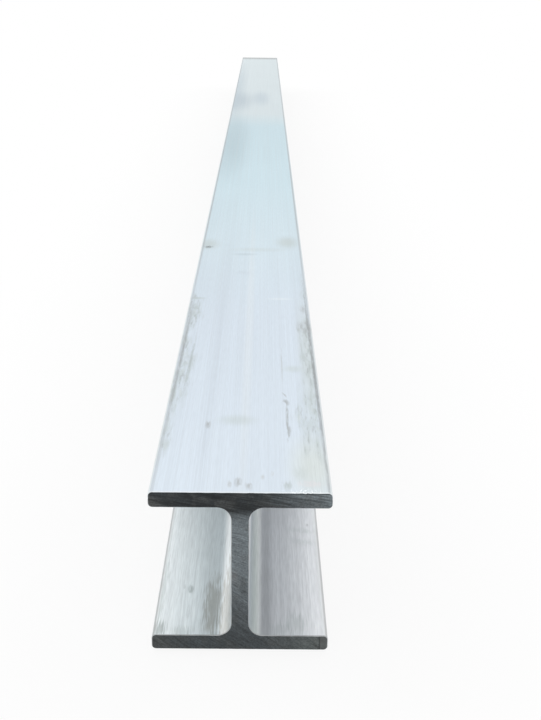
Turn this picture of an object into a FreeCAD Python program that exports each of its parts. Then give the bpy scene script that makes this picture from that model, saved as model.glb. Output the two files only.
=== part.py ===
"""Aluminium H-beam, 100 x 100 mm, in one extruded length.

The beam is a single piece: two equal flanges joined by a web, with rounded roots where the web meets
the flanges and small radii on the flange tips. It was pushed through a die as one section and then
sawn square at both ends, so it has no joints, holes or separate layers.

Frame, in millimetres: +Y along the beam, +X across the flanges, +Z up through the web. The origin is
the centre of the bottom flange's resting face, half way along the beam.
"""

import FreeCAD
import Part
import os

# Driving dimensions, in millimetres. Each one can be changed by itself.
LENGTH = 2700.0  # between the two sawn ends
SECTION_HEIGHT = 100.0  # over both flanges
FLANGE_WIDTH = 100.0
FLANGE_THICKNESS = 9.5
WEB_THICKNESS = 10.0
ROOT_RADIUS = 8.0  # inside corners, where the web meets a flange
TIP_RADIUS = 2.5  # outside corners of the flange tips

# Rounding that is asked for never takes more than the wall or the gap beside it holds.
ROOM_IN_CHANNEL = min((SECTION_HEIGHT - 2 * FLANGE_THICKNESS) / 2, (FLANGE_WIDTH - WEB_THICKNESS) / 2)
ROOT_ROUNDING = min(ROOT_RADIUS, 0.9 * (ROOM_IN_CHANNEL - TIP_RADIUS))
TIP_ROUNDING = min(TIP_RADIUS, 0.45 * FLANGE_THICKNESS)


def section_corners():
    """The sharp corners of the H and the radius that rounds each, as (x, z, radius), anticlockwise."""
    tip = FLANGE_WIDTH / 2
    web = WEB_THICKNESS / 2
    lower = FLANGE_THICKNESS
    upper = SECTION_HEIGHT - FLANGE_THICKNESS
    right_half = [
        (tip, 0, TIP_ROUNDING),
        (tip, lower, TIP_ROUNDING),
        (web, lower, ROOT_ROUNDING),
        (web, upper, ROOT_ROUNDING),
        (tip, upper, TIP_ROUNDING),
        (tip, SECTION_HEIGHT, TIP_ROUNDING),
    ]
    left_half = [(-x, z, radius) for x, z, radius in reversed(right_half)]
    return right_half + left_half


def square_corner_arc(before, corner, after, radius):
    """The arc of this radius that rounds a square corner: its start, its middle and its end."""
    towards_before = (before - corner).normalize()
    towards_after = (after - corner).normalize()
    centre = corner + (towards_before + towards_after) * radius
    start = corner + towards_before * radius
    end = corner + towards_after * radius
    middle = centre + (corner - centre).normalize() * radius
    return Part.Arc(start, middle, end)


def section_face(y):
    """The H section as a flat face at this distance along the beam."""
    corners = section_corners()
    points = [FreeCAD.Vector(x, y, z) for x, z, _ in corners]
    arcs = [
        square_corner_arc(points[i - 1], points[i], points[(i + 1) % len(points)], corners[i][2])
        for i in range(len(points))
    ]
    edges = []
    for i, arc in enumerate(arcs):
        edges.append(arc.toShape())
        following = arcs[(i + 1) % len(arcs)]
        edges.append(Part.LineSegment(arc.EndPoint, following.StartPoint).toShape())
    return Part.Face(Part.Wire(edges))


def h_beam():
    """The whole beam: the section extruded from one sawn end to the other."""
    return section_face(-LENGTH / 2).extrude(FreeCAD.Vector(0, LENGTH, 0))


def main():
    os.makedirs("parts", exist_ok=True)
    h_beam().exportStep("parts/h_beam.step")


main()
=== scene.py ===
"""Looks of an extruded aluminium H-beam: its skin, its sawn ends, a pale studio and the camera.

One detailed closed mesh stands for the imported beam. It has the beam's exact section and length, with the
fine relief that such stock has: shallow die lines along it, faint waves, dings on the flange edges, and
the saw's arcs on the end faces. All lengths are in metres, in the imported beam's own frame: +Y along the
beam, +X across the flanges, +Z up, with the front end at the lowest Y.
"""

import math

import bpy
from mathutils import Matrix, Vector, noise
from mathutils.geometry import delaunay_2d_cdt


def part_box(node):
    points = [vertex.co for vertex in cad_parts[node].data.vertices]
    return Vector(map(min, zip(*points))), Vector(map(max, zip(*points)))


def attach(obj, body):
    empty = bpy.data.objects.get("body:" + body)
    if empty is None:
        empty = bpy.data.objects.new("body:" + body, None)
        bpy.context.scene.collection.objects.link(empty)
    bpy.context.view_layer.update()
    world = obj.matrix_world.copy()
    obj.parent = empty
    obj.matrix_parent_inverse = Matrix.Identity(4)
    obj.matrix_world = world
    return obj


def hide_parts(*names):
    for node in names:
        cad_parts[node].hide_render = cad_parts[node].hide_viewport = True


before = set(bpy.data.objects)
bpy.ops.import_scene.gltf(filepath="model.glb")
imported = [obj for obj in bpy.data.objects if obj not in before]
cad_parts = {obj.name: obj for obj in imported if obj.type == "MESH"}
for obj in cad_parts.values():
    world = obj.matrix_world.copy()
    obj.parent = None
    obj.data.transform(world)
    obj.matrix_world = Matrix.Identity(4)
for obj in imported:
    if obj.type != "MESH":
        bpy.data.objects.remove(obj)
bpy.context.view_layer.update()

NODE = "h_beam"
LOW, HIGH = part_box(NODE)
FRONT, BACK = LOW.y, HIGH.y
BOTTOM, TOP = LOW.z, HIGH.z
HALF_WIDTH = HIGH.x

# The section inside its box.
FLANGE_THICKNESS = 0.0095
WEB_THICKNESS = 0.010
ROOT_RADIUS = 0.008
TIP_RADIUS = 0.0025
CHANNEL_FLOOR = BOTTOM + FLANGE_THICKNESS
CHANNEL_ROOF = TOP - FLANGE_THICKNESS

# How finely the mesh is divided.
STEP_AROUND = 0.00125
STEP_ALONG_FRONT = 0.007
STEP_ALONG = 0.045
FINE_LENGTH = 0.42  # the front stretch that has the finer steps
ROOT_SEGMENTS = 12
TIP_SEGMENTS = 6
STEP_ON_END = 0.00055

# Relief of the skin, always inwards from the nominal surface.
DIE_LINE_DEPTH = 0.000022
DIE_LINE_PITCH = 0.0028
DIE_LINE_RUN = 1.6
WAVE_DEPTH = 0.00006
WAVE_PITCH = 0.035
WAVE_RUN = 0.26

# Relief of the sawn ends. The saw was fed across the section, so each arc is the last one moved sideways:
# steep at ARC_STEEPEST and flatter above and below it.
ARRIS = 0.0003
END_RECESS = 0.00030
ARC_STEEPEST = BOTTOM + 0.020
ARC_SLOPE = 1.2
ARC_BEND = 800.0
SAW_FEED = 0.0032
SAW_DEPTH = 0.00007
BREAK_OFF = 0.0452  # the last of the cut, on the bottom flange, broke off beyond this x
BREAK_OFF_STEP = 0.00022
BURR = (0.0345, 0.0080)  # the middle and half width of the burr on the top flange's upper edge

# Dings on the flange edges: side (-1 or 1), height, distance from the front, half length and depth.
DINGS = [
    (-1, TOP, 0.262, 0.016, 0.00022),
    (-1, TOP, 0.346, 0.020, 0.00018),
    (-1, TOP, 0.118, 0.012, 0.00016),
    (1, TOP, 0.298, 0.018, 0.00024),
    (1, TOP, 0.176, 0.014, 0.00018),
    (1, TOP, 0.058, 0.013, 0.00020),
    (-1, CHANNEL_FLOOR, 0.205, 0.015, 0.00020),
    (1, CHANNEL_FLOOR, 0.142, 0.014, 0.00018),
]

# The camera, placed from the beam's front end and top face.
CAMERA_SETBACK = 0.517
CAMERA_RISE = 0.269
CAMERA_OFFSET = 0.010
LOOK_DOWN = math.radians(20.45)
TURN = math.radians(-0.58)
TILT = math.radians(0.80)
LENS = 53.86  # millimetres, on a 36 mm sensor along the picture's long side

# The studio.
FLOOR_SIZE = 40.0
FLOOR_GAP = 0.00005
FLOOR_GREY = 0.95
FLOOR_WHITE_SHARE = 0.86  # beside the beam
FADE_START, FADE_END = 0.02, 0.25  # how far from the beam the floor turns fully white
WORLD_LIGHT = 0.75
OVERHEAD_POWER = 30.0
SIDE_POWER = 10.0


def on_top(x, from_front):
    """A point on the top face."""
    return (x, FRONT + from_front, TOP)


def on_floor(x, from_front):
    """A point on the channel's floor, which is the bottom flange's upper face."""
    return (x, FRONT + from_front, CHANNEL_FLOOR)


def on_end(x, height):
    """A point on the section, as seen on an end face."""
    return (x, 0.0, BOTTOM + height)


def grey(value, tint=(1.0, 1.0, 1.0)):
    """A colour of this lightness with a slight tint."""
    return (value * tint[0], value * tint[1], value * tint[2], 1.0)


COOL = (0.88, 1.02, 1.10)
MIST = (0.91, 1.00, 1.09)
AQUA = (0.84, 1.05, 1.12)
NEUTRAL = (0.97, 1.01, 1.02)
BLUISH = (0.965, 1.015, 1.03)
GREENISH = (0.93, 1.03, 1.01)
CREAM = (0.985, 1.015, 0.99)
OLIVE = (1.01, 1.01, 0.95)
MAUVE = (0.985, 1.005, 1.03)
ROSY = (1.04, 0.985, 1.0)
PALE_GREEN = (0.955, 1.02, 0.995)
DULL_GREEN = (0.95, 1.02, 0.985)
NEAR_BLUE = (0.90, 0.99, 1.08)
MIDDLE_BLUE = (0.885, 1.02, 1.085)
DEEP_BLUE = (0.855, 1.045, 1.11)
DEEPEST_BLUE = (0.84, 1.045, 1.11)
FAR_WHITE = (0.93, 1.02, 1.035)
FARTHEST_WHITE = (0.94, 1.025, 1.035)
SAWN_COOL = (0.88, 1.02, 1.10)
SAWN_WARM = (0.98, 1.01, 0.98)
SAWN_GREENISH = (0.92, 1.04, 1.02)
ALL_ALONG = 9.0

# The top face's colour along the beam, with a painted sky reflection in it: distance from the front, colour.
TOP_COLOUR_AND_PAINTED_REFLECTION = [
    (0.00, grey(0.755, NEAR_BLUE)),
    (0.30, grey(0.735, NEAR_BLUE)),
    (0.55, grey(0.725, MIDDLE_BLUE)),
    (0.85, grey(0.700, DEEP_BLUE)),
    (1.34, grey(0.680, DEEPEST_BLUE)),
    (1.50, grey(0.720, FAR_WHITE)),
    (2.00, grey(0.725, FARTHEST_WHITE)),
    (2.70, grey(0.745, FARTHEST_WHITE)),
]

# The next four lists all go into the skin's one material, which is near the most that the renderer can hold.
# Two more patches still render. Five more turn the whole skin black, and the render reports no failure.

# Broad soft tones: rubs, lines, stains, painted shade and painted reflection. Where, half sizes, colour,
# strength.
TONES_AND_PAINTED_SHADE = [
    (on_top(0.000, 2.70), (0.300, 0.08, 0.02), grey(0.34, OLIVE), 0.8),
    # Painted reflection: darker, bluer stretches of the top far from the front.
    (on_top(-0.042, 1.70), (0.046, 0.22, 0.02), grey(0.51, COOL), 0.8),
    (on_top(-0.052, 1.90), (0.034, 0.75, 0.02), grey(0.56, COOL), 0.65),
    (on_top(0.006, 1.74), (0.026, 0.17, 0.02), grey(0.57, COOL), 0.65),
    (on_top(-0.036, 1.18), (0.036, 0.42, 0.02), grey(0.54, AQUA), 0.8),
    (on_top(-0.022, 0.26), (0.007, 0.34, 0.02), grey(0.66, MIST), 0.4),
    (on_top(0.001, 0.30), (0.005, 0.50, 0.02), grey(0.80, NEUTRAL), 0.3),
    (on_top(0.041, 0.032), (0.020, 0.060, 0.02), grey(0.70, PALE_GREEN), 0.9),
    (on_top(0.044, 0.220), (0.010, 0.180, 0.02), grey(0.64, DULL_GREEN), 0.5),
    (on_top(-0.004, 0.097), (0.0170, 0.012, 0.02), grey(0.58, GREENISH), 0.5),
    (on_top(0.033, 0.187), (0.0100, 0.010, 0.02), grey(0.60, GREENISH), 0.5),
    (on_top(-0.043, 0.535), (0.0160, 0.030, 0.02), grey(0.58, GREENISH), 0.7),
    (on_top(0.036, 0.545), (0.0160, 0.034, 0.02), grey(0.58, GREENISH), 0.75),
    (on_top(0.008, 0.515), (0.0400, 0.012, 0.02), grey(0.60, GREENISH), 0.35),
    (on_top(-0.006, 0.497), (0.0170, 0.007, 0.02), grey(0.56, COOL), 0.5),
    (on_top(-0.006, 0.432), (0.0110, 0.010, 0.02), grey(0.62, MIST), 0.3),
    (on_top(-0.043, 0.352), (0.0090, 0.005, 0.02), grey(0.54, GREENISH), 0.6),
    (on_top(0.026, 0.352), (0.0150, 0.005, 0.02), grey(0.88, NEUTRAL), 0.3),
    # Painted shade in the channels: darker towards the web and deeper under the top flange, fillets
    # included.
    ((0.0200, FRONT, CHANNEL_FLOOR), (0.0200, 1.2, 0.010), grey(0.69, MAUVE), 0.8),
    ((0.0145, FRONT, CHANNEL_FLOOR), (0.0075, 1.0, 0.005), grey(0.48, MAUVE), 0.85),
    ((0.0080, FRONT, CHANNEL_FLOOR + 0.003), (0.0055, 1.0, 0.010), grey(0.42, GREENISH), 0.95),
    ((-0.0170, FRONT, CHANNEL_FLOOR), (0.0120, 1.0, 0.004), grey(0.62, BLUISH), 0.7),
    ((-0.0070, FRONT, CHANNEL_FLOOR + 0.004), (0.0050, 0.3, 0.010), grey(0.80, NEUTRAL), 0.7),
    (on_floor(-0.022, 0.24), (0.042, 0.22, 0.02), grey(0.54, BLUISH), 0.9),
    (on_floor(0.020, 0.27), (0.042, 0.22, 0.02), grey(0.46, MAUVE), 0.85),
    # Painted shade on the web's right face, dimming its bright grazing reflection.
    ((0.0050, FRONT, (BOTTOM + TOP) / 2), (0.0010, 0.16, 0.060), grey(0.52, MAUVE), 0.6),
]

# Areas mottled by handling: where, half sizes, colour, strength.
SMUDGES = [
    (on_top(-0.045, 0.190), (0.010, 0.085, 0.03), grey(0.54, GREENISH), 0.7),
    (on_top(-0.045, 0.305), (0.009, 0.065, 0.03), grey(0.50, GREENISH), 0.75),
    (on_top(-0.0475, 0.070), (0.006, 0.080, 0.03), grey(0.54, GREENISH), 0.6),
    (on_top(0.047, 0.200), (0.008, 0.180, 0.03), grey(0.52, GREENISH), 0.7),
    (on_top(0.041, 0.095), (0.011, 0.060, 0.03), grey(0.56, GREENISH), 0.7),
    (on_top(0.044, 0.325), (0.007, 0.022, 0.03), grey(0.42, NEUTRAL), 0.7),
    (on_top(0.044, 0.277), (0.006, 0.018, 0.03), grey(0.42, NEUTRAL), 0.7),
]

# Streaky dirt inside the channels: where, half sizes, colour, strength.
CHANNEL_DIRT = [
    (on_floor(-0.0160, 0.030), (0.0075, 0.040, 0.02), grey(0.44, OLIVE), 0.85),
    (on_floor(-0.0470, 0.045), (0.0030, 0.045, 0.02), grey(0.58, GREENISH), 0.35),
    (on_floor(-0.0460, 0.006), (0.0050, 0.010, 0.02), grey(0.44, GREENISH), 0.7),
    (on_floor(-0.0330, 0.003), (0.0080, 0.007, 0.02), grey(0.54, GREENISH), 0.4),
    ((-0.0080, FRONT + 0.020, CHANNEL_FLOOR + 0.003), (0.005, 0.075, 0.009), grey(0.56, OLIVE), 0.8),
    (on_floor(0.0320, 0.012), (0.0090, 0.014, 0.02), grey(0.56, GREENISH), 0.35),
    (on_floor(0.0220, 0.006), (0.0070, 0.008, 0.02), grey(0.50, GREENISH), 0.3),
]

# Single marks: where, half sizes, lean, colour, strength.
SCUFFS = [
    (on_top(-0.0466, 0.215), (0.0014, 0.170, 0.02), -0.005, grey(0.34, NEUTRAL), 0.8),
    (on_top(0.0474, 0.190), (0.0015, 0.240, 0.02), 0.005, grey(0.26, NEUTRAL), 0.85),
    (on_top(-0.0395, 0.200), (0.0014, 0.070, 0.02), -0.01, grey(0.44, GREENISH), 0.7),
    (on_top(0.0400, 0.240), (0.0010, 0.060, 0.02), 0.01, grey(0.50, GREENISH), 0.5),
    (on_top(0.0272, 0.100), (0.0012, 0.036, 0.02), -0.01, grey(0.40, NEUTRAL), 0.85),
    (on_top(0.0277, 0.080), (0.0017, 0.014, 0.02), -0.01, grey(0.40, NEUTRAL), 0.9),
    (on_top(0.0268, 0.127), (0.0022, 0.006, 0.02), 0.3, grey(0.38, NEUTRAL), 0.8),
    (on_top(0.0262, 0.139), (0.0010, 0.006, 0.02), 0.3, grey(0.46, NEUTRAL), 0.7),
    (on_top(0.0252, 0.195), (0.0008, 0.036, 0.02), 0.0, grey(0.52, NEUTRAL), 0.6),
    (on_top(-0.0217, 0.090), (0.0020, 0.008, 0.02), 0.0, grey(0.42, NEUTRAL), 0.85),
    (on_top(-0.0224, 0.070), (0.0018, 0.030, 0.02), 0.0, grey(0.62, MIST), 0.4),
    (on_top(-0.0060, 0.0100), (0.0018, 0.005, 0.02), 0.0, grey(0.52, NEUTRAL), 0.7),
    (on_top(-0.0015, 0.0125), (0.0026, 0.007, 0.02), 0.0, grey(0.42, NEUTRAL), 0.8),
    (on_top(0.0045, 0.0085), (0.0026, 0.006, 0.02), 0.0, grey(0.46, NEUTRAL), 0.75),
    (on_top(0.0120, 0.0190), (0.0014, 0.004, 0.02), 0.0, grey(0.56, NEUTRAL), 0.6),
    (on_top(0.0175, 0.0230), (0.0014, 0.004, 0.02), 0.0, grey(0.60, NEUTRAL), 0.5),
    (on_top(0.0255, 0.0090), (0.0038, 0.008, 0.02), 0.0, grey(0.50, GREENISH), 0.7),
    (on_top(0.0330, 0.0240), (0.0060, 0.012, 0.02), 0.0, grey(0.60, GREENISH), 0.5),
    (on_top(0.0390, 0.0110), (0.0090, 0.005, 0.02), 0.0, grey(0.72, ROSY), 0.6),
    (on_top(-0.0425, 0.5240), (0.0050, 0.0060, 0.02), 0.0, grey(0.16, GREENISH), 0.95),
    (on_floor(-0.0306, 0.0470), (0.0026, 0.006, 0.02), 0.0, grey(0.44, GREENISH), 0.75),
    (on_floor(-0.0345, 0.0500), (0.0008, 0.004, 0.02), 0.0, grey(0.44, NEUTRAL), 0.4),
    (on_floor(-0.0310, 0.0230), (0.0016, 0.009, 0.02), 0.0, grey(0.56, NEUTRAL), 0.4),
    (on_floor(0.0400, 0.1050), (0.0130, 0.005, 0.02), -0.35, grey(0.58, GREENISH), 0.3),
    (on_floor(0.0390, 0.1200), (0.0130, 0.005, 0.02), -0.25, grey(0.58, GREENISH), 0.3),
    (on_floor(0.0430, 0.1280), (0.0014, 0.004, 0.02), 0.0, grey(0.46, NEUTRAL), 0.5),
]

# The darker and the lighter lines along the edges: from where to where each one fades in or out.
# Painted shade: the darker line on the flanges' rounded edges.
EDGE_SHADE_INNER = (0.0462, 0.0478)
EDGE_SHADE_OUTER = (0.0494, 0.0482)
LOW_LINE = (0.0482, 0.0490)
# Partly wear, partly painted light: the lighter line on the top's outer edges.
WORN_AND_PAINTED_LIGHT_EDGE = (HALF_WIDTH - 0.0016, HALF_WIDTH - 0.0008)
RUBBED_END = (BACK - 0.0020, BACK - 0.0008)
DARK_END = (BACK - 0.0012, BACK - 0.0007)

# Painted reflections on the sawn ends, lighter and darker areas where the saw's arcs catch the light: where,
# half sizes, colour, strength.
SAWN_PAINTED_REFLECTIONS = [
    (on_end(-0.014, 0.0950), (0.024, ALL_ALONG, 0.012), grey(0.018, SAWN_COOL), 0.6),
    (on_end(0.056, 0.0960), (0.052, ALL_ALONG, 0.030), grey(0.185, SAWN_COOL), 0.95),
    (on_end(-0.050, 0.0920), (0.012, ALL_ALONG, 0.008), grey(0.085, SAWN_WARM), 0.8),
    (on_end(0.050, 0.0050), (0.044, ALL_ALONG, 0.014), grey(0.130, SAWN_GREENISH), 0.85),
    (on_end(-0.048, 0.0040), (0.014, ALL_ALONG, 0.010), grey(0.070, SAWN_WARM), 0.6),
    (on_end(-0.003, 0.0480), (0.003, ALL_ALONG, 0.006), grey(0.170, MAUVE), 0.6),
    (on_end(0.002, 0.0400), (0.003, ALL_ALONG, 0.010), grey(0.090, SAWN_COOL), 0.6),
]


# ---------------------------------------------------------------------------------------------- mesh


def section_corners():
    """The sharp corners of the H and the radius that rounds each, anticlockwise as the front end shows."""
    web = WEB_THICKNESS / 2
    right_half = [
        (HALF_WIDTH, BOTTOM, TIP_RADIUS),
        (HALF_WIDTH, CHANNEL_FLOOR, TIP_RADIUS),
        (web, CHANNEL_FLOOR, ROOT_RADIUS),
        (web, CHANNEL_ROOF, ROOT_RADIUS),
        (HALF_WIDTH, CHANNEL_ROOF, TIP_RADIUS),
        (HALF_WIDTH, TOP, TIP_RADIUS),
    ]
    left_half = [(-x, z, radius) for x, z, radius in reversed(right_half)]
    return right_half + left_half


def corner_arc(before, corner, after, radius):
    """Points round one square corner, each with the outward normal of the skin there."""
    to_before = (before - corner).normalized()
    to_after = (after - corner).normalized()
    centre = corner + (to_before + to_after) * radius
    is_tip = (corner - before).cross(after - corner) > 0
    segments = TIP_SEGMENTS if is_tip else ROOT_SEGMENTS
    points = []
    for i in range(segments + 1):
        turn = math.pi / 2 * i / segments
        spoke = -(to_after * math.cos(turn) + to_before * math.sin(turn))
        points.append((centre + spoke * radius, spoke if is_tip else -spoke))
    return points


def section_outline():
    """The whole outline, from the middle of the bottom face, as (point, outward normal) pairs."""
    corners = section_corners()
    places = [Vector((x, z)) for x, z, _ in corners]
    count = len(corners)
    arcs = [
        corner_arc(places[i - 1], places[i], places[(i + 1) % count], corners[i][2]) for i in range(count)
    ]
    outline = []
    for arc, following in zip(arcs, arcs[1:] + arcs[:1]):
        outline += arc
        start, normal = arc[-1]
        run = following[0][0] - start
        pieces = math.ceil(run.length / STEP_AROUND)
        outline += [(start + run * (i / pieces), normal) for i in range(1, pieces)]
    first = min(range(len(outline)), key=lambda i: abs(outline[i][0].x) + abs(outline[i][0].y - BOTTOM))
    return outline[first:] + outline[:first]


def stations():
    """Where the rings of the skin stand between the two arrises, from front to back."""
    start = FRONT + END_RECESS + ARRIS
    end = BACK - END_RECESS - ARRIS
    fine = math.ceil(FINE_LENGTH / STEP_ALONG_FRONT)
    coarse = math.ceil((end - start - FINE_LENGTH) / STEP_ALONG)
    rings = [start + FINE_LENGTH * i / fine for i in range(fine)]
    rings += [start + FINE_LENGTH + (end - start - FINE_LENGTH) * i / coarse for i in range(coarse + 1)]
    # A second ring close to each arris keeps its soft shading off the flat skin.
    return [start, start + ARRIS] + rings[1:-1] + [end - ARRIS, end]


def bell(distance):
    """1 at no distance, falling smoothly to 0 at a distance of 1."""
    inside = max(0.0, 1.0 - distance * distance)
    return inside * inside


def skin_depth(point, y):
    """How far the skin lies under its nominal surface: die lines, slow waves and dings."""
    x, z = point
    lines = noise.noise(Vector((x / DIE_LINE_PITCH, y / DIE_LINE_RUN, z / DIE_LINE_PITCH)))
    waves = noise.noise(Vector((x / WAVE_PITCH, y / WAVE_RUN, z / WAVE_PITCH + 40.0)))
    depth = DIE_LINE_DEPTH * (0.5 + 0.5 * lines) + WAVE_DEPTH * (0.5 + 0.5 * waves)
    for side, height, from_front, half_length, ding_depth in DINGS:
        across = math.hypot(x - side * HALF_WIDTH, z - height) / 0.0035
        along = abs(y - FRONT - from_front) / half_length
        depth += ding_depth * bell(math.hypot(across, along))
    return max(0.0, depth)


def arris_width(point, phase):
    """How far the end's edge is broken: unevenly all round, and raggedly at the burr."""
    x, z = point
    wander = noise.noise(Vector((x * 250, z * 250, phase)))
    ragged = noise.noise(Vector((x * 700, z * 700, phase + 3)))
    at_burr = bell((x - BURR[0]) / BURR[1]) if z > TOP - TIP_RADIUS else 0.0
    return ARRIS * max(0.3, 1.0 + 0.5 * wander + 2.2 * at_burr * ragged)


def saw_phase(x, z):
    """A value that is the same all along one arc of the saw."""
    above = z - ARC_STEEPEST
    return x + ARC_SLOPE * above + ARC_BEND * above**3 / 3


def end_depth(point, phase):
    """How far an end face lies inside its plane: the saw's arcs, fine tearing and the broken-off corner."""
    x, z = point
    arcs = noise.noise(Vector((saw_phase(x, z) * 2 / SAW_FEED, x * 70, phase)))
    wide_arcs = noise.noise(Vector((saw_phase(x, z) * 0.6 / SAW_FEED, x * 40, phase + 5)))
    tearing = noise.noise(Vector((x * 700, z * 700, phase + 9)))
    depth = END_RECESS + SAW_DEPTH * (arcs + wide_arcs + 0.4 * tearing)
    if z < CHANNEL_FLOOR and x > BREAK_OFF:
        depth -= BREAK_OFF_STEP
    return max(0.0, depth)


def end_triangles(rim):
    """Fills an end face: the rim's points and a grid inside it, as (points, triangles)."""
    seeds = list(rim)
    row_height = STEP_ON_END * math.sqrt(3) / 2
    rows = int((TOP - BOTTOM) / row_height)
    columns = int(2 * HALF_WIDTH / STEP_ON_END)
    for row in range(1, rows):
        z = BOTTOM + row * row_height
        for column in range(1, columns):
            x = -HALF_WIDTH + (column + 0.5 * (row % 2)) * STEP_ON_END
            if depth_inside(x, z) > 0.6 * STEP_ON_END + 3 * ARRIS:
                seeds.append(Vector((x, z)))
    _, _, faces, sources, _, _ = delaunay_2d_cdt(seeds, [], [list(range(len(rim)))], 1, 1e-7)
    renumber = [source[0] for source in sources]
    return seeds, [[renumber[corner] for corner in face] for face in faces]


def depth_inside(x, z):
    """How far inside the section's outline a point lies; below 0 it is outside."""
    x = abs(x)
    z = min(z - BOTTOM, TOP - z)
    web = WEB_THICKNESS / 2
    in_flange = rounded_bar(x, z - FLANGE_THICKNESS / 2, HALF_WIDTH, FLANGE_THICKNESS / 2)
    in_web = web - x if z > FLANGE_THICKNESS / 2 else -1.0
    in_root = -1.0
    root_x = web + ROOT_RADIUS
    root_z = FLANGE_THICKNESS + ROOT_RADIUS
    if x < root_x and z < root_z:
        in_root = math.hypot(root_x - x, root_z - z) - ROOT_RADIUS
        in_root = min(in_root, z)
    return max(in_flange, in_web, in_root)


def rounded_bar(x, z, half_width, half_height):
    """How far inside a bar with rounded corners a point lies, from the bar's middle."""
    out_x = abs(x) - (half_width - TIP_RADIUS)
    out_z = abs(z) - (half_height - TIP_RADIUS)
    outside = math.hypot(max(out_x, 0.0), max(out_z, 0.0))
    return TIP_RADIUS - outside - min(max(out_x, out_z), 0.0)


def build_beam():
    """The beam as one closed mesh: skin rings, two arrises and two filled end faces."""
    outline = section_outline()
    around = len(outline)
    verts = []
    rings = []

    def add_ring(y, arris_phase=None):
        rings.append(range(len(verts), len(verts) + around))
        for point, normal in outline:
            inset = 0.0 if arris_phase is None else arris_width(point, arris_phase)
            place = point - normal * (skin_depth(point, y) + inset)
            verts.append((place.x, y, place.y))

    add_ring(FRONT + END_RECESS, arris_phase=0.0)
    for y in stations():
        add_ring(y)
    add_ring(BACK - END_RECESS, arris_phase=50.0)

    faces = []
    for near, far in zip(rings, rings[1:]):
        for i in range(around):
            j = (i + 1) % around
            faces.append((near[i], far[i], far[j], near[j]))
    skin_faces = len(faces)

    for ring, phase in ((rings[0], 0.0), (rings[-1], 50.0)):
        rim = [Vector((verts[i][0], verts[i][2])) for i in ring]
        seeds, triangles = end_triangles(rim)
        is_front = ring is rings[0]
        names = list(ring)
        for seed in seeds[around:]:
            depth = end_depth(seed, phase)
            names.append(len(verts))
            verts.append((seed.x, FRONT + depth if is_front else BACK - depth, seed.y))
        for triangle in triangles:
            corners = [names[corner] for corner in triangle]
            faces.append(tuple(corners if is_front else reversed(corners)))

    mesh = bpy.data.meshes.new("aluminium_h_beam")
    mesh.from_pydata(verts, [], faces)
    mesh.validate()
    for polygon in mesh.polygons[skin_faces:]:
        polygon.material_index = 1
    mesh.shade_smooth()
    sharpen_arrises(mesh, skin_faces)
    lay_out_texture(mesh, around, skin_faces)
    return mesh


def sharpen_arrises(mesh, skin_faces):
    """Breaks the smooth shading where the skin's arris meets an end face."""
    sides = {}
    for polygon in mesh.polygons:
        for key in polygon.edge_keys:
            sides.setdefault(key, set()).add(polygon.index < skin_faces)
    sharp = mesh.attributes.new("sharp_edge", "BOOLEAN", "EDGE")
    for edge in mesh.edges:
        sharp.data[edge.index].value = len(sides[edge.key]) == 2


def lay_out_texture(mesh, around, skin_faces):
    """A texture map: the skin unrolled into one tall panel, and the two ends beside it."""
    panel, gap = 0.665, 0.008
    end_size = 1.0 - panel - 2 * gap
    length = BACK - FRONT
    layer = mesh.uv_layers.new(name="OFBake")
    for polygon in mesh.polygons:
        is_skin = polygon.index < skin_faces
        column = polygon.index % around
        for corner, loop in enumerate(polygon.loop_indices):
            place = mesh.vertices[mesh.loops[loop].vertex_index].co
            if is_skin:
                step = column + (1 if corner >= 2 else 0)
                u = panel * step / around
                v = (place.y - FRONT) / length
            else:
                u = panel + gap + end_size * (place.x + HALF_WIDTH) / (2 * HALF_WIDTH)
                v = gap + end_size * (place.z - BOTTOM) / (TOP - BOTTOM)
                v += 0.5 if place.y > 0 else 0.0
            layer.uv[loop].vector = (u, v)


# ----------------------------------------------------------------------------------------- materials


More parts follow.
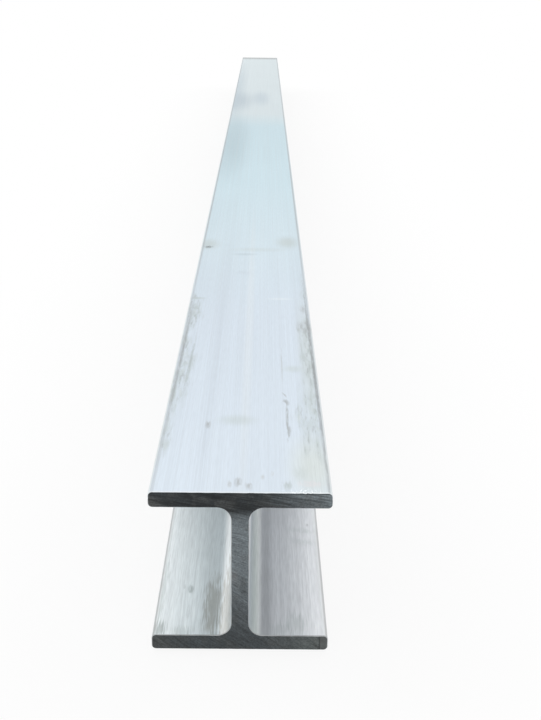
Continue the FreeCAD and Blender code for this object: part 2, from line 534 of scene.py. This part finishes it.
class Graph:
    """One node tree, with a short call for each kind of node it needs."""

    def __init__(self, tree):
        self.tree = tree
        tree.nodes.clear()

    def add(self, kind, inputs=None, **settings):
        node = self.tree.nodes.new("ShaderNode" + kind)
        for name, value in settings.items():
            setattr(node, name, value)
        for socket, value in (inputs or {}).items():
            if isinstance(value, bpy.types.NodeSocket):
                self.tree.links.new(value, node.inputs[socket])
            else:
                node.inputs[socket].default_value = value
        return node

    def math(self, operation, a, b=0.0):
        return self.add("Math", {0: a, 1: b}, operation=operation).outputs[0]

    def product(self, *factors):
        result = factors[0]
        for factor in factors[1:]:
            result = self.math("MULTIPLY", result, factor)
        return result

    def noise(self, place, scale, detail=2.0):
        stretched = self.add("VectorMath", {0: place, 1: scale}, operation="MULTIPLY").outputs[0]
        return self.add("TexNoise", {"Vector": stretched, "Scale": 1.0, "Detail": detail}).outputs["Fac"]

    def ramp(self, value, start, end, low=0.0, high=1.0):
        inputs = {"Value": value, "From Min": start, "From Max": end, "To Min": low, "To Max": high}
        return self.add("MapRange", inputs, interpolation_type="SMOOTHSTEP").outputs["Result"]

    def tones(self, value, start, end, stops):
        """Colours that follow one another as a value goes from start to end."""
        share = self.add("MapRange", {"Value": value, "From Min": start, "From Max": end}).outputs["Result"]
        node = self.add("ValToRGB", {"Fac": share})
        elements = node.color_ramp.elements
        while len(elements) < len(stops):
            elements.new(1.0)
        for element, (distance, colour) in zip(elements, stops):
            element.position = distance / (end - start)
            element.color = colour
        return node.outputs["Color"]

    def blend(self, factor, a, b):
        return self.add("Mix", {0: factor, 6: a, 7: b}, data_type="RGBA").outputs[2]

    def shade(self, colour, factor):
        return self.add("VectorMath", {0: colour, 3: factor}, operation="SCALE").outputs[0]

    def patch(self, place, centre, half_size, lean=0.0, softness=0.9, ragged=None):
        """A soft ellipsoid mask, 1 in the middle, whose edge a ragged field can break up."""
        settings = {"Vector": place, "Location": centre, "Rotation": (0, 0, lean), "Scale": half_size}
        local = self.add("Mapping", settings, vector_type="TEXTURE").outputs[0]
        distance = self.add("VectorMath", {0: local}, operation="LENGTH").outputs["Value"]
        if ragged is not None:
            distance = self.math("ADD", distance, ragged)
        return self.ramp(distance, 1.0, 1.0 - softness)


def mill_finish():
    """Extruded aluminium as it leaves the die: pale, with lines along it, and scuffed by handling. Its
    colour also holds painted shade and painted reflections.
    """
    material = bpy.data.materials.new("mill_finish_aluminium")
    material.use_nodes = True
    graph = Graph(material.node_tree)
    place = graph.add("TexCoord").outputs["Object"]
    x, y, z = graph.add("SeparateXYZ", {0: place}).outputs
    side = graph.math("ABSOLUTE", x)
    from_middle = graph.math("ABSOLUTE", y)

    hair_lines = graph.noise(place, (1900, 5.0, 1900), 2.0)
    strokes = graph.noise(place, (1500, 75.0, 1500), 2.0)
    die_lines = graph.noise(place, (760, 1.6, 760), 2.0)
    bands = graph.noise(place, (190, 0.5, 190), 2.0)
    clouds = graph.noise(place, (14, 3.0, 14), 2.0)
    stains = graph.noise(place, (140, 17, 140), 3.0)
    flecks = graph.noise(place, (620, 70, 620), 3.0)
    blotches = graph.noise(place, (330, 60, 330), 2.0)
    specks = graph.noise(place, (1100, 500, 1100), 2.0)
    ragged_area = graph.ramp(stains, 0.3, 0.7, -0.45, 0.45)
    ragged_mark = graph.ramp(flecks, 0.3, 0.7, -0.35, 0.35)
    streaky = graph.ramp(strokes, 0.3, 0.7, -0.3, 0.3)

    on_top_face = graph.ramp(z, TOP - 0.002, TOP - 0.001)
    # The top's colour holds a painted reflection that changes along the beam.
    top_colour_with_painted_reflection = graph.tones(y, FRONT, BACK, TOP_COLOUR_AND_PAINTED_REFLECTION)
    top_colour_with_painted_reflection = graph.shade(top_colour_with_painted_reflection, graph.ramp(clouds, 0.4, 0.6, 0.99, 1.01))
    inner_colour = graph.blend(graph.ramp(x, -0.002, 0.002), grey(0.90, BLUISH), grey(0.88, MAUVE))
    colour = graph.blend(on_top_face, inner_colour, top_colour_with_painted_reflection)
    # Soft tones, among them painted shade and painted reflection.
    for where, half_size, tone, strength in TONES_AND_PAINTED_SHADE:
        mask = graph.patch(place, where, half_size)
        colour = graph.blend(graph.product(mask, strength), colour, tone)

    # Each kind of line: its field, its strength inside the channels and on the top.
    line_kinds = [
        (hair_lines, 0.08, 0.060),
        (strokes, 0.15, 0.050),
        (die_lines, 0.08, 0.055),
        (bands, 0.08, 0.030),
    ]
    for lines, inner_depth, top_depth in line_kinds:
        depth = graph.ramp(on_top_face, 0.0, 1.0, inner_depth, top_depth)
        change = graph.product(graph.ramp(lines, 0.25, 0.75, -0.5, 0.5), depth)
        colour = graph.shade(colour, graph.math("ADD", 1.0, change))

    handled = 0.0
    for where, half_size, tone, strength in SMUDGES:
        mask = graph.patch(place, where, half_size, softness=0.75, ragged=ragged_area)
        handled = graph.math("MAXIMUM", graph.product(mask, strength), handled)
        tide_mark = graph.product(mask, graph.math("SUBTRACT", 1.0, mask), 0.9)
        stained = graph.product(mask, graph.ramp(blotches, 0.38, 0.64, 0.25, 0.95))
        share = graph.math("MINIMUM", graph.math("MAXIMUM", tide_mark, stained), 1.0)
        colour = graph.blend(graph.product(share, strength), colour, tone)
    for where, half_size, tone, strength in CHANNEL_DIRT:
        mask = graph.patch(place, where, half_size, softness=0.7, ragged=streaky)
        handled = graph.math("MAXIMUM", graph.product(mask, strength, 0.5), handled)
        colour = graph.blend(graph.product(mask, strength), colour, tone)
    dark_flecks = graph.product(handled, graph.ramp(flecks, 0.54, 0.66), 0.6)
    colour = graph.blend(dark_flecks, colour, grey(0.36, NEUTRAL))
    light_flecks = graph.product(handled, graph.ramp(flecks, 0.44, 0.32), 0.35)
    colour = graph.blend(light_flecks, colour, grey(0.80, NEUTRAL))
    unevenly = graph.ramp(flecks, 0.34, 0.58, 0.35, 1.0)
    for where, half_size, lean, tone, strength in SCUFFS:
        mask = graph.patch(place, where, half_size, lean, 0.7, ragged_mark)
        colour = graph.blend(graph.product(mask, unevenly, strength), colour, tone)

    # Painted shade: a darker line on the flanges' rounded edges, stronger farther from the front.
    rim = graph.product(graph.ramp(side, *EDGE_SHADE_INNER), graph.ramp(side, *EDGE_SHADE_OUTER))
    edge_shade_strength = graph.ramp(y, FRONT + 0.25, FRONT + 0.70, 0.3, 0.75)
    colour = graph.blend(graph.product(rim, edge_shade_strength), colour, grey(0.40, NEUTRAL))
    near_edge = graph.ramp(side, *LOW_LINE)
    low_rim = graph.product(near_edge, graph.ramp(z, CHANNEL_FLOOR + 0.001, CHANNEL_FLOOR))
    colour = graph.blend(graph.product(low_rim, 0.6), colour, grey(0.34, OLIVE))
    # Partly wear and partly painted light: the top's outer edges lighter.
    worn_and_painted_light_rim = graph.product(graph.ramp(side, *WORN_AND_PAINTED_LIGHT_EDGE, 0.0, 0.7), on_top_face)
    colour = graph.blend(worn_and_painted_light_rim, colour, grey(0.88, CREAM))
    rubbed_end = graph.product(graph.ramp(from_middle, *RUBBED_END, 0.0, 0.5), on_top_face)
    colour = graph.blend(rubbed_end, colour, grey(0.80, NEUTRAL))
    near_end = graph.ramp(from_middle, *DARK_END)
    inner_end = graph.product(near_end, graph.ramp(z, TOP - 0.004, TOP - 0.005))
    colour = graph.blend(graph.product(inner_end, 0.8), colour, grey(0.36, NEUTRAL))
    burr_mask = graph.patch(place, on_top(BURR[0], 0.001), (0.016, 0.007, 0.004))
    bright_flecks = graph.product(burr_mask, graph.ramp(specks, 0.54, 0.62))
    colour = graph.blend(bright_flecks, colour, grey(0.97, NEUTRAL))

    roughness = graph.ramp(die_lines, 0.3, 0.7, 0.34, 0.44)
    height = graph.math("ADD", graph.math("MULTIPLY", hair_lines, 0.4), die_lines)
    bump = graph.add("Bump", {"Strength": 0.25, "Distance": 0.00006, "Height": height}).outputs[0]
    inputs = {"Base Color": colour, "Metallic": 0.85, "Roughness": roughness, "Normal": bump}
    inputs["Specular Tint"] = (0.92, 0.96, 1.0, 1.0)
    shader = graph.add("BsdfPrincipled", inputs).outputs[0]
    graph.add("OutputMaterial", {"Surface": shader})
    return material


def sawn_aluminium():
    """A sawn end: grainy, with streaks that follow the saw's arcs, its dark colour painted shade and
    reflection.
    """
    material = bpy.data.materials.new("sawn_aluminium")
    material.use_nodes = True
    graph = Graph(material.node_tree)
    place = graph.add("TexCoord").outputs["Object"]
    x, y, z = graph.add("SeparateXYZ", {0: place}).outputs

    above = graph.math("SUBTRACT", z, ARC_STEEPEST)
    bend = graph.product(above, above, above, ARC_BEND / 3)
    phase = graph.math("ADD", x, graph.math("ADD", graph.product(above, ARC_SLOPE), bend))
    arc_place = graph.add("CombineXYZ", {0: phase, 1: x, 2: y}).outputs[0]
    fine_arcs = graph.noise(arc_place, (4.5 / SAW_FEED, 220, 1), 3.0)
    arcs = graph.noise(arc_place, (2.2 / SAW_FEED, 120, 1), 2.0)
    wide_arcs = graph.noise(arc_place, (0.6 / SAW_FEED, 50, 1), 2.0)
    grain = graph.noise(place, (1100, 1100, 1100), 2.0)
    mottle = graph.noise(place, (190, 190, 190), 2.0)

    # Painted shade and reflection: the end far darker than sawn aluminium, lightest up the web, darkest in
    # the top flange.
    end_shade_by_height = graph.ramp(z, BOTTOM + 0.006, BOTTOM + 0.060, 0.0, 1.0)
    colour = graph.blend(end_shade_by_height, grey(0.060, SAWN_COOL), grey(0.178, SAWN_COOL))
    in_top_flange = graph.ramp(z, TOP - 0.0200, TOP - 0.0095)
    colour = graph.blend(in_top_flange, colour, grey(0.031, SAWN_COOL))
    # Painted reflections: lighter and darker areas across the end.
    for where, half_size, tone, strength in SAWN_PAINTED_REFLECTIONS:
        mask = graph.patch(place, where, half_size, softness=0.95)
        colour = graph.blend(graph.product(mask, strength), colour, tone)
    colour = graph.blend(graph.ramp(mottle, 0.42, 0.66, 0.0, 0.3), colour, grey(0.080, SAWN_WARM))

    for lines, low, high in ((fine_arcs, 0.80, 1.25), (arcs, 0.82, 1.22)):
        colour = graph.shade(colour, graph.ramp(lines, 0.28, 0.72, low, high))
    wide_share = graph.ramp(in_top_flange, 0.0, 1.0, 0.25, 1.0)
    wide_change = graph.product(graph.ramp(wide_arcs, 0.28, 0.72, -0.40, 0.45), wide_share)
    colour = graph.shade(colour, graph.math("ADD", 1.0, wide_change))
    colour = graph.shade(colour, graph.ramp(grain, 0.25, 0.75, 0.80, 1.25))

    under_arris = graph.ramp(z, TOP - 0.0013, TOP - 0.0006, 0.0, 0.6)
    colour = graph.blend(under_arris, colour, grey(0.022, SAWN_COOL))
    below_floor = graph.ramp(z, CHANNEL_FLOOR, CHANNEL_FLOOR - 0.0005)
    past_break = graph.ramp(x, BREAK_OFF - 0.0002, BREAK_OFF + 0.0002, 0.0, 0.55)
    colour = graph.blend(graph.product(below_floor, past_break), colour, grey(0.115, SAWN_WARM))
    step_shadow = graph.ramp(graph.math("ABSOLUTE", graph.math("SUBTRACT", x, BREAK_OFF)), 0.0006, 0.0001)
    colour = graph.blend(graph.product(below_floor, step_shadow, 0.7), colour, grey(0.03, SAWN_COOL))

    roughness = graph.ramp(arcs, 0.3, 0.7, 0.42, 0.62)
    bump = graph.add("Bump", {"Strength": 0.5, "Distance": 0.00008, "Height": fine_arcs}).outputs[0]
    inputs = {"Base Color": colour, "Metallic": 0.6, "Roughness": roughness, "Normal": bump}
    shader = graph.add("BsdfPrincipled", inputs).outputs[0]
    graph.add("OutputMaterial", {"Surface": shader})
    return material


# -------------------------------------------------------------------------------------------- studio


def seen_directly(graph):
    """1 for rays from the camera and for those that metal or glass sends on, otherwise 0."""
    path = graph.add("LightPath").outputs
    camera_or_gloss = graph.math("MAXIMUM", path["Is Camera Ray"], path["Is Glossy Ray"])
    return graph.math("MAXIMUM", camera_or_gloss, path["Is Transmission Ray"])


def add_floor():
    """A wide pale floor that keeps the beam's soft shadow and fades to white away from it."""
    material = bpy.data.materials.new("studio_floor")
    material.use_nodes = True
    graph = Graph(material.node_tree)
    place = graph.add("TexCoord").outputs["Object"]
    reach = graph.add("VectorMath", {0: place}, operation="ABSOLUTE").outputs[0]
    outside = graph.add("VectorMath", {0: reach, 1: (HALF_WIDTH, BACK, 0)}, operation="SUBTRACT").outputs[0]
    away = graph.add("VectorMath", {0: outside, 1: (0, 0, 0)}, operation="MAXIMUM").outputs[0]
    distance = graph.add("VectorMath", {0: away}, operation="LENGTH").outputs["Value"]
    whiteness = graph.ramp(distance, FADE_START, FADE_END, FLOOR_WHITE_SHARE, 1.0)

    matt = graph.add("BsdfDiffuse", {"Color": grey(FLOOR_GREY)}).outputs[0]
    white = graph.add("Emission", {"Color": grey(1.0), "Strength": 1.0}).outputs[0]
    share = graph.product(seen_directly(graph), whiteness)
    shader = graph.add("MixShader", {0: share, 1: matt, 2: white}).outputs[0]
    graph.add("OutputMaterial", {"Surface": shader})

    half = FLOOR_SIZE / 2
    corners = [(-half, -half, 0), (half, -half, 0), (half, half, 0), (-half, half, 0)]
    mesh = bpy.data.meshes.new("floor")
    mesh.from_pydata(corners, [], [(0, 1, 2, 3)])
    mesh.materials.append(material)
    floor = bpy.data.objects.new("floor", mesh)
    floor.location.z = BOTTOM - FLOOR_GAP
    bpy.context.collection.objects.link(floor)


def add_world():
    """An even white surround, dimmer as a light than it looks."""
    world = bpy.data.worlds.new("studio")
    bpy.context.scene.world = world
    world.use_nodes = True
    graph = Graph(world.node_tree)
    strength = graph.ramp(seen_directly(graph), 0.0, 1.0, WORLD_LIGHT, 1.0)
    shader = graph.add("Background", {"Color": grey(1.0), "Strength": strength}).outputs[0]
    graph.add("OutputWorld", {"Surface": shader})


def add_lamp(name, place, target, size, power):
    """A soft rectangular lamp aimed at a point."""
    light = bpy.data.lights.new(name, "AREA")
    light.shape = "RECTANGLE"
    light.size, light.size_y = size
    light.energy = power
    lamp = bpy.data.objects.new(name, light)
    lamp.location = place
    lamp.rotation_euler = (Vector(target) - Vector(place)).to_track_quat("-Z", "Y").to_euler()
    bpy.context.collection.objects.link(lamp)


def add_camera():
    """The camera stands over the front end and looks down along the beam."""
    data = bpy.data.cameras.new("camera")
    data.sensor_width = 36.0
    data.lens = LENS
    data.clip_start = 0.02
    data.clip_end = 60.0
    camera = bpy.data.objects.new("camera", data)
    ahead = Vector(
        (-math.sin(TURN) * math.cos(LOOK_DOWN), math.cos(TURN) * math.cos(LOOK_DOWN), -math.sin(LOOK_DOWN))
    )
    level_right = Vector((math.cos(TURN), math.sin(TURN), 0.0))
    level_up = level_right.cross(ahead)
    right = math.cos(TILT) * level_right + math.sin(TILT) * level_up
    up = -math.sin(TILT) * level_right + math.cos(TILT) * level_up
    place = Vector((CAMERA_OFFSET, FRONT - CAMERA_SETBACK, TOP + CAMERA_RISE))
    camera.matrix_world = Matrix.Translation(place) @ Matrix((right, up, -ahead)).transposed().to_4x4()
    bpy.context.collection.objects.link(camera)
    bpy.context.scene.camera = camera


def main():
    beam = bpy.data.objects.new("aluminium_h_beam", build_beam())
    beam.data.materials.append(mill_finish())
    beam.data.materials.append(sawn_aluminium())
    bpy.context.collection.objects.link(beam)
    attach(beam, "root")
    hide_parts(NODE)

    add_floor()
    add_world()
    add_lamp("overhead_softbox", (-0.5, 0.0, 2.6), (0, 0, 0), (6.0, 7.5), OVERHEAD_POWER)
    add_lamp("side_softbox", (-3.0, -0.3, 1.4), (0, -0.3, 0.05), (2.4, 7.0), SIDE_POWER)
    add_camera()
    bpy.context.scene.view_settings.view_transform = "Standard"


main()
